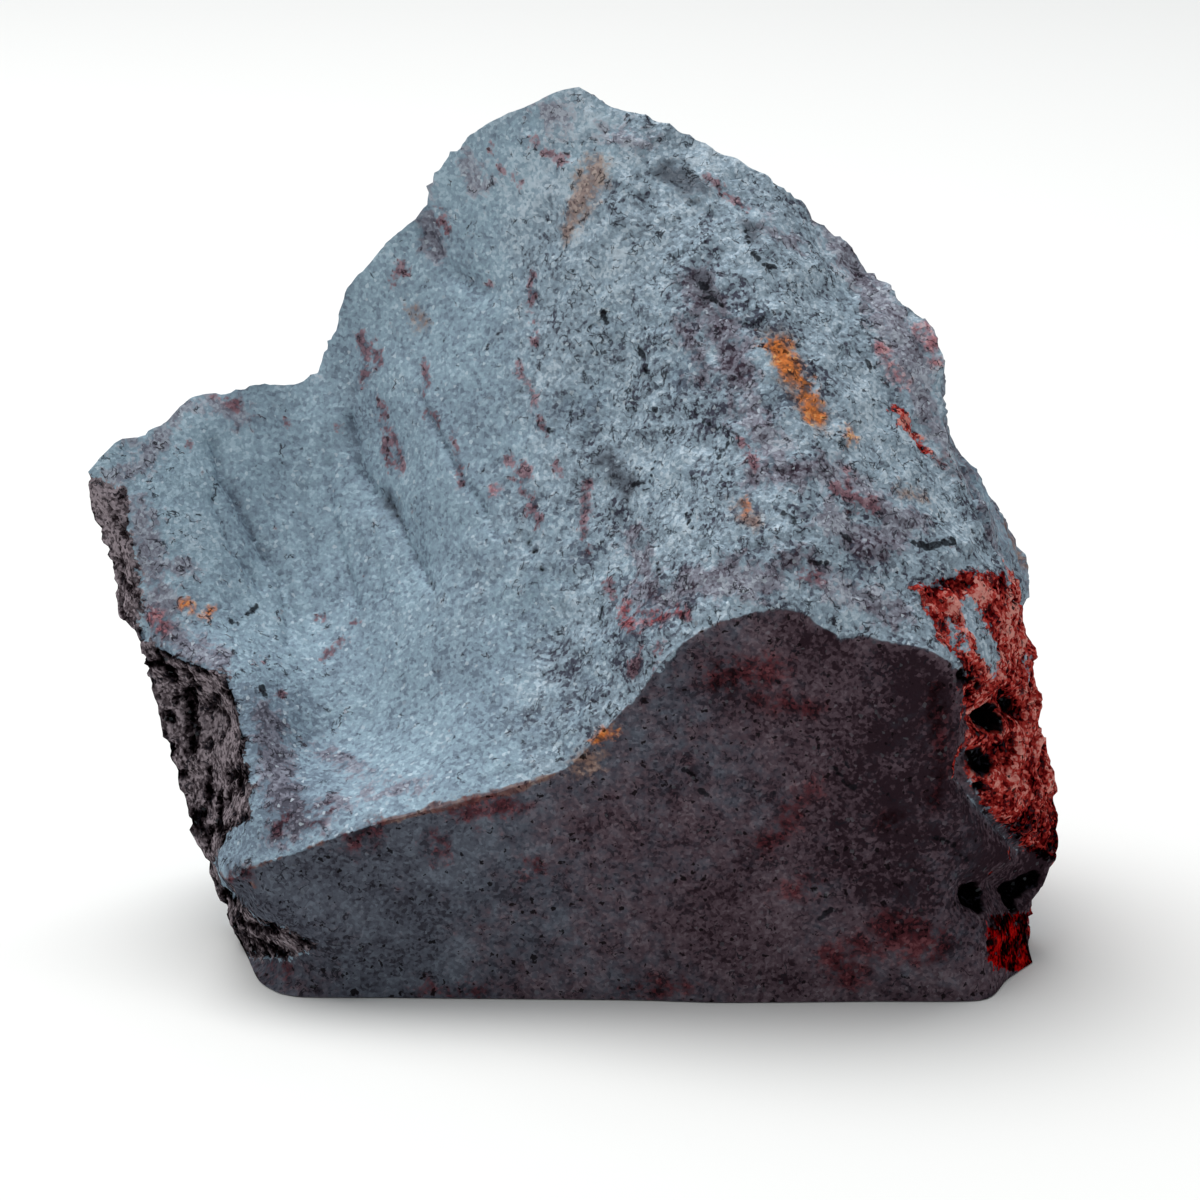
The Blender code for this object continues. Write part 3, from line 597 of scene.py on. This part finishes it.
# Where the fresh break has weathered, its grey turns to a purple brown.
WEATHERED_GREY = [
    (1.2, (-35.0, 39.4), (-33.4, 33.6), (-32.6, 29.6), (-28.6, 27.2)),
    (0.8, (-30.9, 48.4), (-34.3, 43.2), (-36.8, 41.6)),
    (1.0, (-29.0, 48.0), (-27.1, 47.0)),
    (0.8, (-32.4, 35.0), (-31.0, 34.6)),
    (1.4, (-24.6, 23.0), (-23.4, 17.0), (-22.0, 14.0)),
    (0.8, (-20.0, 20.0), (-16.0, 17.6)),
    (0.9, (-24.0, 13.0), (-20.0, 14.8)),
    (0.7, (-20.0, 15.6), (-12.0, 17.4)),
    (1.2, (-2.6, 71.4), (-1.0, 70.6)),
    (0.8, (2.6, 69.6), (6.0, 68.6)),
    (1.0, (-12.0, 66.0), (-11.0, 60.0)),
    (0.8, (8.6, 54.0), (10.3, 50.2)),
    (1.4, (10.0, 57.2), (13.4, 50.0)),
    (0.8, (15.6, 62.0), (17.6, 60.7)),
    (1.2, (13.6, 47.6), (16.0, 44.0)),
    (1.6, (21.0, 60.4), (25.0, 55.2), (27.8, 50.0)),
    (1.2, (23.0, 57.6), (26.4, 51.0), (29.4, 44.6)),
    (1.2, (14.6, 42.0), (20.6, 42.4), (24.4, 40.0)),
    (1.4, (20.6, 38.6), (24.0, 36.0), (27.0, 38.4)),
    (1.0, (5.0, 33.0), (8.0, 31.8)),
    (1.4, (9.6, 33.4), (15.4, 33.6)),
    (1.0, (17.4, 35.4), (21.6, 32.6), (26.0, 31.0)),
    (0.9, (4.6, 37.0), (6.4, 33.8)),
    (0.9, (34.8, 38.0), (36.0, 34.8)),
]

# Painted shade: dark grey laid in hollows, and in the groove at the foot of the red lobe.
PAINTED_SHADE = [
    (1.0, (7.5, 66.2), (9.9, 64.6)),
    (0.6, (14.0, 62.0), (14.4, 61.0)),
    (0.5, (-15.0, 39.8), (-14.4, 39.2)),
    (0.7, (10.2, 57.8), (10.8, 56.2)),
    (0.8, (2.6, 43.2), (4.4, 41.0)),
    (0.5, (32.0, 16.0), (33.8, 14.0), (35.2, 12.6)),
]

# Short cracks, most of them on the grainy break.
CRACKS = [
    (0.12, (5.3, 52.2), (5.9, 50.3)),
    (0.1, (14.3, 59.6), (15.1, 58.8), (16.0, 58.6)),
    (0.1, (23.5, 51.2), (23.8, 50.2), (24.5, 49.8)),
    (0.1, (4.8, 41.2), (6.1, 41.5), (6.4, 43.0)),
    (0.14, (11.6, 43.5), (12.3, 44.5)),
    (0.24, (27.2, 36.6), (28.4, 36.3), (30.1, 36.6)),
    (0.12, (25.6, 35.4), (26.5, 35.0)),
    (0.1, (-27.4, 30.4), (-26.9, 30.1), (-26.4, 30.6), (-25.3, 31.5)),
    (0.16, (-27.4, 30.3)),
    (0.2, (-24.9, 25.0), (-24.7, 24.4)),
    (0.12, (10.6, 57.0), (11.2, 56.0)),
    (0.12, (2.4, 55.0), (2.6, 54.2)),
    (0.1, (6.8, 34.8), (6.9, 34.0)),
    (0.1, (10.2, 57.4), (10.6, 56.2), (11.8, 55.6)),
    (0.1, (-2.0, 45.6), (-1.2, 45.2)),
    (0.12, (6.6, 47.2), (6.9, 46.6)),
    (0.1, (16.2, 39.2), (17.6, 38.4)),
    (0.1, (9.0, 38.9), (9.4, 37.8)),
    (0.1, (2.3, 31.4), (2.2, 30.6)),
    (0.12, (5.8, 26.2), (6.6, 27.4)),
    (0.12, (8.6, 30.2), (8.8, 31.0)),
    (0.1, (18.3, 35.0), (20.2, 35.0)),
    (0.1, (21.4, 37.2), (22.2, 36.8)),
    (0.1, (13.8, 61.6), (14.0, 60.6)),
    (0.1, (10.4, 46.4), (11.6, 45.6)),
    (0.1, (20.9, 18.6), (21.6, 17.6), (22.7, 16.7)),
    (0.12, (19.7, 6.5), (20.5, 7.2)),
    (0.12, (8.8, 18.4), (9.4, 18.2)),
    (0.12, (10.1, 16.8), (10.6, 16.4)),
    (0.1, (29.0, 13.0), (30.4, 12.4)),
    (0.1, (31.0, 11.6), (32.4, 10.8)),
]

# On the back, patches of the old face are left, and the foot of the old front goes on round to it.
OLD_CARRIED = 3.0
left_over = np.clip(0.35 * lumps(20.0, 4) - 0.12, -0.3, 0.1)
carried_old = np.maximum(left_over, OLD_CARRIED - far_from((old > 0.5) & (front > 0.9)))
old_grey_and_shade = np.where(front > 0.5, below_edge, carried_old)

# The old front is browner to the right and in its low left corner.
low_corner = (1 - smooth(up, 2.5, 5.5)) * (1 - smooth(across, -25, -18))
old_brown_and_shade = smooth(across, -22, 20) * 3 - 1.7 + 1.4 * lumps(9.0) + 2 * low_corner

# A line of rust follows the rim, where the break isn't grainy.
RUST_HALF_WIDTH = 0.25
rust = RUST_HALF_WIDTH - np.abs(below_edge) + 0.9 * lumps(5.0) - 0.9 * grainier

# A crack is narrower than the skin's points are apart, so it is told a little wider.
CRACK_SPREAD = 0.14

# Paler or darker than its kind of rock: how much, the pattern and where it lies. Hollows and grooves are
# darker and ridges paler, which is painted shade and painted highlight; then come the red rock, the pitted
# rock, the fresh break from its top down, the old front and the deep red facet. Painted light and shade
# among them are marked where they lie.
deep_share = smooth(deep_red, -0.3, 0.3)
plain_old = old * (1 - deep_share)
# Where the fresh break is given painted shade: its low left, by the pitted rock, and its low middle.
low_left = by_pitted * (1 - smooth(up, 22, 28)) * fresh * (1 - pitted_share)
low_middle = smooth(across, -16, -6) * (1 - smooth(across, 6, 12)) * (1 - smooth(up, 26, 36))
burrowed = smooth(burrows, -0.1, 0.25)
PALER = [
    (0.2, lumps(5.0, 4), 1),
    # Painted shade in grooves and hollows, painted highlight on ridges, here and in the red and pitted
    # rock below.
    (-0.6, grooved, 1),
    (-0.5, np.clip(-relief - 0.3, 0, 1), front * (1 - red_share)),
    (0.15, relief, behind * (1 - red_share)),
    (-0.08, 1, hidden_grey * (1 - pitted_share)),
    (0.35, relief, red_share),
    (0.3, lumps(3.0), red_share),
    # Painted light: the upper part of the red rock is lighter, where it is turned from the lamp.
    (0.22, smooth(up, 10, 24), red_share),
    (-0.16, 1, red_share),
    (0.27, 1, pitted_share),
    (0.3, relief, pitted_share),
    # The burrows of the pitted rock are darker, partly their own dark filling and partly painted shade.
    (-0.5, burrowed, pitted_share),
    (0.25, burrowed, smooth(up, 28, 32) * pitted_share),
    (-0.2, 1 - smooth(pitted_rock, 0.4, 1.6), (1 - smooth(up, 26, 30)) * pitted_share),
    # Painted light: the top of the fresh break is lighter.
    (0.2, smooth(up, 63, 68), grainy_break),
    (0.15, smooth(up, 52, 62), fresh),
    (-0.1, smooth(up, 40, 54), smooth(across, 2, 12) * fresh),
    (0.12, smooth(up, 38, 44), smooth(across, 17, 23) * fresh),
    (0.15, smooth(up, 30, 36), (1 - smooth(across, -31, -22)) * fresh),
    # Painted shade: the low middle of the fresh break is darker, where the lamp lights it most.
    (-0.1, low_middle, fresh),
    (0.3, lumps(2.4), grainy_break),
    # Painted shade: the low left of the fresh break is darker, where the lamp lights it most.
    (-0.3, 1, low_left),
    (0.25, lumps(3.5), plain_old),
    (-0.44, smooth(across, 15, 28) * smooth(up, 2, 12), plain_old),
    (0.5, lumps(1.6), deep_share),
    (-0.1, 1, deep_share),
    # Painted shadow under the ledge at the top of the deep red facet.
    (-0.3, smooth(up, 4.6, 6.6), deep_share),
]

# What the material reads at each point: mostly how deep it lies in each kind of rock or stain.
fields = {
    "grainy_grey": (grainier - 0.5) * 2 + lumps(6.0),
    "weathered_grey": np.where(front > 0.5, inside(WEATHERED_GREY), 0.8 * lumps(14.0) - 0.2),
    # The old front's greys and browns are partly its own dull colour and partly painted shade.
    "old_grey_and_shade": old_grey_and_shade,
    "old_brown_and_shade": np.minimum(old_brown_and_shade, old_grey_and_shade * 8),
    "tan_clay": inside(TAN_CLAY),
    "ochre": inside(OCHRE),
    # Painted shade in hollows and in the groove at the foot of the red lobe.
    "crimson": inside(CRIMSON),
    "limonite": inside(LIMONITE),
    "rose": inside(ROSE),
    "painted_shade": inside(PAINTED_SHADE),
    "red_rock": red_rock,
    "deep_red": deep_red,
    "pitted_rock": pitted_rock,
    "cracks": inside(CRACKS) + CRACK_SPREAD,
    "black_pits": black_pits,
    "rim": np.where(front > 0.5, rust, -FADE),
    "paler": sum(amount * pattern * share for amount, pattern, share in PALER),
    "roughened": np.maximum(grainier * front * (1 - 0.5 * old), by_pitted),
}
for name, values in fields.items():
    layer = stone.data.attributes.new(name, "FLOAT", "POINT")
    layer.data.foreach_set("value", np.clip(values, -2 * FADE, 2 * FADE).astype(np.float32))


# Massive hematite, broken and never polished: a fine sugary grain of blue-grey, half metallic crystals
# whose glitter is painted into the colour as pale grains, dulled to purple brown where it has weathered,
# and red where its own earthy ochre shows.
def colour(code):
    """A colour written as sRGB hex, as the linear light that the shader works in."""
    parts = [int(code[k : k + 2], 16) / 255 for k in (1, 3, 5)]
    light = [p / 12.92 if p <= 0.04045 else ((p + 0.055) / 1.055) ** 2.4 for p in parts]
    return (*light, 1.0)


hematite = bpy.data.materials.new("broken_massive_hematite")
hematite.use_nodes = True
tree = hematite.node_tree
shader = tree.nodes["Principled BSDF"]


def add(kind, inputs=(), output=0, **settings):
    """Adds a node with its settings; each input is given a value or linked. Gives back one output."""
    made = tree.nodes.new(kind)
    for name, value in settings.items():
        setattr(made, name, value)
    for socket, value in dict(inputs).items():
        if isinstance(value, bpy.types.NodeSocket):
            tree.links.new(value, made.inputs[socket])
        else:
            made.inputs[socket].default_value = value
    return made.outputs[output]


# The grains are about a quarter of a millimetre wide, and the clumps that they break off in are about
# a millimetre. Each texture's colour gives three patterns that have nothing to do with one another.
GRAIN = 0.28
CLUMP = 1.1
DUST = 1.4 * GRAIN
where = add("ShaderNodeTexCoord", output="Object")
grains = add("ShaderNodeTexVoronoi", {"Vector": where, "Scale": 1 / (GRAIN * MM)}, output="Color")
grain_tone, grain_height, glint_grain = (
    add("ShaderNodeSeparateColor", {"Color": grains}, output=k) for k in range(3)
)
clump_size = {"Vector": where, "Scale": 1 / (CLUMP * MM), "Detail": 4.0, "Distortion": 0.4}
clumps = add("ShaderNodeTexNoise", clump_size, output="Color")
clump_tone, clump_edge, clump_line = (
    add("ShaderNodeSeparateColor", {"Color": clumps}, output=k) for k in range(3)
)
dust = add("ShaderNodeTexNoise", {"Vector": where, "Scale": 1 / (DUST * MM), "Detail": 2.0})
field = {name: add("ShaderNodeAttribute", output="Fac", attribute_name=name) for name in fields}

# How pale each spot is within its own kind of rock, about a half in the mean, from what its clump, its
# grain and its dust add.
CLUMP_CONTRAST = 0.7
GRAIN_CONTRAST = 0.55
DUST_CONTRAST = 0.85
MIDDLE_TONE = 0.5
mean_added = (CLUMP_CONTRAST + GRAIN_CONTRAST + DUST_CONTRAST) / 2
tone = add("ShaderNodeMath", {0: field["paler"], 1: MIDDLE_TONE - mean_added}, operation="ADD")
tone = add("ShaderNodeMath", {0: clump_tone, 1: CLUMP_CONTRAST, 2: tone}, operation="MULTIPLY_ADD")
tone = add("ShaderNodeMath", {0: grain_tone, 1: GRAIN_CONTRAST, 2: tone}, operation="MULTIPLY_ADD")
tone = add("ShaderNodeMath", {0: dust, 1: DUST_CONTRAST, 2: tone}, operation="MULTIPLY_ADD")

# How ragged the edges of stains are, nought in the mean, from the same three.
DUST_RAGGED = 0.6
GRAIN_RAGGED = 0.12
mean_ragged = (1 + GRAIN_RAGGED + DUST_RAGGED) / 2
ragged = add("ShaderNodeMath", {0: clump_edge, 1: mean_ragged}, operation="SUBTRACT")
ragged = add("ShaderNodeMath", {0: dust, 1: DUST_RAGGED, 2: ragged}, operation="MULTIPLY_ADD")
ragged = add("ShaderNodeMath", {0: grain_tone, 1: GRAIN_RAGGED, 2: ragged}, operation="MULTIPLY_ADD")

# The kinds of rock and stain, from the lowest up: the field that it fills, how ragged and how soft its
# edge is in millimetres, how much it covers, whether it is dull, and its four tones from the dark of
# its folds to its palest grains.
TONES_AT = (0.1, 0.35, 0.65, 0.95)
KINDS = [
    ("smooth grey", None, 0.0, 0.0, 1.0, False, "#697785 #8092a0 #8da3b0 #a5bac6"),
    ("grainy grey", "grainy_grey", 3.0, 0.8, 1.0, False, "#42434f #7a8893 #94a6b3 #b6c4ce"),
    ("weathered grey", "weathered_grey", 5.0, 0.5, 0.7, False, "#3a2a32 #655964 #807a85 #9fa1ab"),
    # The old front's greys and browns are partly its own dull colour and partly painted shade, for it
    # leans out from the overhead lamp.
    ("old grey and shade", "old_grey_and_shade", 0.7, 0.08, 1.0, True, "#34343c #4a4d57 #555a64 #656c77"),
    ("old brown and shade", "old_brown_and_shade", 4.0, 1.4, 1.0, True, "#291d23 #45373e #55474e #685c63"),
    ("rim rust", "rim", 0.6, 0.15, 0.8, True, "#3a2220 #553835 #6f504a #806a5c"),
    ("tan clay", "tan_clay", 3.0, 0.7, 0.8, True, "#4a3a38 #755d55 #8c7063 #a48c7e"),
    ("ochre", "ochre", 2.4, 0.28, 0.8, True, "#3a1f25 #5b373f #784c54 #97737a"),
    ("crimson", "crimson", 4.0, 0.9, 0.8, True, "#120304 #381115 #501c21 #6c383c"),
    ("rose", "rose", 2.2, 0.5, 0.7, True, "#4e1c20 #863c40 #a8565a #c88a88"),
    ("limonite", "limonite", 2.6, 0.6, 0.9, True, "#7a5038 #b0652f #d87a38 #e0a868"),
    # Painted shade, dark grey, in hollows and in the groove at the foot of the red lobe.
    ("painted_shade", "painted_shade", 2.6, 0.7, 0.8, True, "#24242a #3a3c44 #4a4d56 #5c606a"),
    ("red rock", "red_rock", 2.4, 0.15, 1.0, True, "#040001 #5a0a0d #aa3630 #d08c82"),
    ("deep red", "deep_red", 2.0, 0.15, 1.0, True, "#010000 #3a0002 #940305 #b41812"),
    ("pitted rock", "pitted_rock", 2.4, 0.15, 1.0, True, "#020101 #241d20 #595054 #92878c"),
    ("crack", "cracks", 0.5, 0.06, 0.9, True, "#0a0a0c #101014 #16171c #1e2026"),
    # Painted shade: the black inside deep pits and under the ledge over the deep red facet.
    ("black pit", "black_pits", 0.8, 0.2, 1.0, True, "#010101 #020101 #040202 #120a0b"),
]
rock = None
dull = 0.0
for label, filled, edge_ragged, edge_soft, cover, is_dull, tones in KINDS:
    ramp = tree.nodes.new("ShaderNodeValToRGB")
    ramp.label = label
    tree.links.new(tone, ramp.inputs[0])
    stops = ramp.color_ramp.elements
    for stop_at in TONES_AT[2:]:
        stops.new(stop_at)
    for stop, stop_at, code in zip(stops, TONES_AT, tones.split()):
        stop.position = stop_at
        stop.color = colour(code)
    if filled is None:
        rock = ramp.outputs[0]
        continue
    depth = add("ShaderNodeMath", {0: ragged, 1: edge_ragged, 2: field[filled]}, operation="MULTIPLY_ADD")
    edge = {"Value": depth, "From Min": -edge_soft, "From Max": edge_soft, "To Max": cover}
    share = add("ShaderNodeMapRange", edge, interpolation_type="SMOOTHSTEP")
    rock = add("ShaderNodeMix", {0: share, 6: rock, 7: ramp.outputs[0]}, 2, data_type="RGBA")
    if is_dull:
        dull = add("ShaderNodeMath", {0: dull, 1: share}, operation="MAXIMUM")

# The dull faces have black pinholes, with ragged rims.
PINHOLE_GAP = 0.8
PINHOLE_BLACK = "#0c080a"
gaps = {"Vector": where, "Scale": 1 / (PINHOLE_GAP * MM)}
pinholes = add("ShaderNodeTexVoronoi", gaps, output="Distance")
pinhole_kind = add("ShaderNodeSeparateColor", {"Color": pinholes.node.outputs["Color"]})
size = add("ShaderNodeMapRange", {"Value": pinhole_kind, "From Min": 0.6, "To Max": 0.3})
size = add("ShaderNodeMath", {0: dust, 1: 1.8, 2: size}, operation="MULTIPLY_ADD")
pinholes = add("ShaderNodeMath", {0: size, 1: pinholes}, operation="SUBTRACT")
hole_rim = {"Value": pinholes, "From Min": 0.9, "From Max": 0.98, "To Max": 0.9}
pinholes = add("ShaderNodeMapRange", hole_rim)
pinholes = add("ShaderNodeMath", {0: pinholes, 1: dull}, operation="MULTIPLY")
black = colour(PINHOLE_BLACK)
rock = add("ShaderNodeMix", {0: pinholes, 6: rock, 7: black}, 2, data_type="RGBA")

# Short curved cracks lie between the clumps, more of them where the break is rough.
HAIR_CRACK = "#1d1c22"
ROUGH_CROWD = 0.12
line = add("ShaderNodeMath", {0: clump_line, 1: 0.5}, operation="SUBTRACT")
line = add("ShaderNodeMath", {0: line}, operation="ABSOLUTE")
line = add("ShaderNodeMapRange", {"Value": line, "From Min": 0.03, "From Max": 0.01})
crowd = {0: field["roughened"], 1: ROUGH_CROWD, 2: clump_edge}
crowd = add("ShaderNodeMath", crowd, operation="MULTIPLY_ADD")
crowd = add("ShaderNodeMapRange", {"Value": crowd, "From Min": 0.62, "From Max": 0.68, "To Max": 0.85})
line = add("ShaderNodeMath", {0: line, 1: crowd}, operation="MULTIPLY")
rock = add("ShaderNodeMix", {0: line, 6: rock, 7: colour(HAIR_CRACK)}, 2, data_type="RGBA")

# Painted glints: a few grains are painted pale, as if they caught the light, fewer where the rock is dull.
PAINTED_GLINT = "#c9d6de"
bright = {"Value": glint_grain, "From Min": 0.975, "From Max": 0.99, "To Max": 0.45}
painted_glint = add("ShaderNodeMapRange", bright)
glint_left = add("ShaderNodeMapRange", {"Value": dull, "To Min": 1.0, "To Max": 0.12})
painted_glint = add("ShaderNodeMath", {0: painted_glint, 1: glint_left}, operation="MULTIPLY")
rock = add("ShaderNodeMix", {0: painted_glint, 6: rock, 7: colour(PAINTED_GLINT)}, 2, data_type="RGBA")
tree.links.new(rock, shader.inputs["Base Color"])

# The fresh grains are a little metallic, and the dull faces are earthy. Neither has a gloss over it.
metal = add("ShaderNodeMapRange", {"Value": dull, "To Min": 0.15, "To Max": 0.0})
tree.links.new(metal, shader.inputs["Metallic"])
rough = add("ShaderNodeMapRange", {"Value": dull, "To Min": 0.58, "To Max": 0.85})
tree.links.new(rough, shader.inputs["Roughness"])
shader.inputs["Specular IOR Level"].default_value = 0.0

# Height of the grains and clumps in millimetres: the darker a spot, the deeper it lies.
SMOOTH_HEIGHT = 0.06
ROUGH_HEIGHT = 0.17
CLUMP_HEIGHT = 0.22
GRAIN_HEIGHT = 0.04
height = {"Value": field["roughened"], "To Min": SMOOTH_HEIGHT, "To Max": ROUGH_HEIGHT}
height = add("ShaderNodeMapRange", height)
height = add("ShaderNodeMath", {0: tone, 1: height}, operation="MULTIPLY")
clump_height = add("ShaderNodeMath", {0: field["roughened"], 1: clump_edge}, operation="MULTIPLY")
height = add("ShaderNodeMath", {0: clump_height, 1: CLUMP_HEIGHT, 2: height}, operation="MULTIPLY_ADD")
height = add("ShaderNodeMath", {0: grain_height, 1: GRAIN_HEIGHT, 2: height}, operation="MULTIPLY_ADD")
bump = add("ShaderNodeBump", {"Strength": 1.0, "Distance": MM, "Height": height})
tree.links.new(bump, shader.inputs["Normal"])
stone.data.materials.clear()
stone.data.materials.append(hematite)

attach(stone, "root")
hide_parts("hematite")


# The floor: a wide sheet of matt pale paper, far larger than the stone, that lies just under its foot.
FLOOR_SIZE = 6.0
FLOOR_GAP = 0.1 * MM
PAPER_WHITE = "#e6e6e4"
bpy.ops.object.select_all(action="DESELECT")
bpy.ops.mesh.primitive_plane_add(size=FLOOR_SIZE, location=(0.0, 0.0, -FLOOR_GAP))
floor = bpy.context.active_object
floor.name = "floor"
paper = bpy.data.materials.new("matt_pale_paper")
paper.use_nodes = True
paper_shader = paper.node_tree.nodes["Principled BSDF"]
paper_shader.inputs["Base Color"].default_value = colour(PAPER_WHITE)
paper_shader.inputs["Roughness"].default_value = 0.9
floor.data.materials.append(paper)

# Studio light: one wide lamp overhead, a little behind and to the left, and an even pale room.
ROOM_WHITE = "#f2f5f8"
LAMP_PLACE = (-0.2, 0.16, 0.8)
room = bpy.data.worlds.new("pale_room")
room.use_nodes = True
room_light = room.node_tree.nodes["Background"]
room_light.inputs["Color"].default_value = colour(ROOM_WHITE)
room_light.inputs["Strength"].default_value = 0.55
bpy.context.scene.world = room
lamp = bpy.data.lights.new("overhead", "AREA")
lamp.shape = "SQUARE"
lamp.size = 0.8
lamp.energy = 8.0
overhead = bpy.data.objects.new("overhead", lamp)
bpy.context.collection.objects.link(overhead)
overhead.location = LAMP_PLACE
overhead.rotation_euler = (-overhead.location).to_track_quat("-Z", "Y").to_euler()

# The camera looks as the eye does, with a long lens.
lens = bpy.data.cameras.new("long_lens")
lens.lens = 150.0
lens.sensor_width = 36.0
lens.clip_start = 0.01
camera = bpy.data.objects.new("camera", lens)
bpy.context.collection.objects.link(camera)
camera.location = eye * MM
camera.rotation_euler = look.to_track_quat("-Z", "Y").to_euler()
bpy.context.scene.camera = camera
bpy.context.scene.view_settings.view_transform = "Standard"
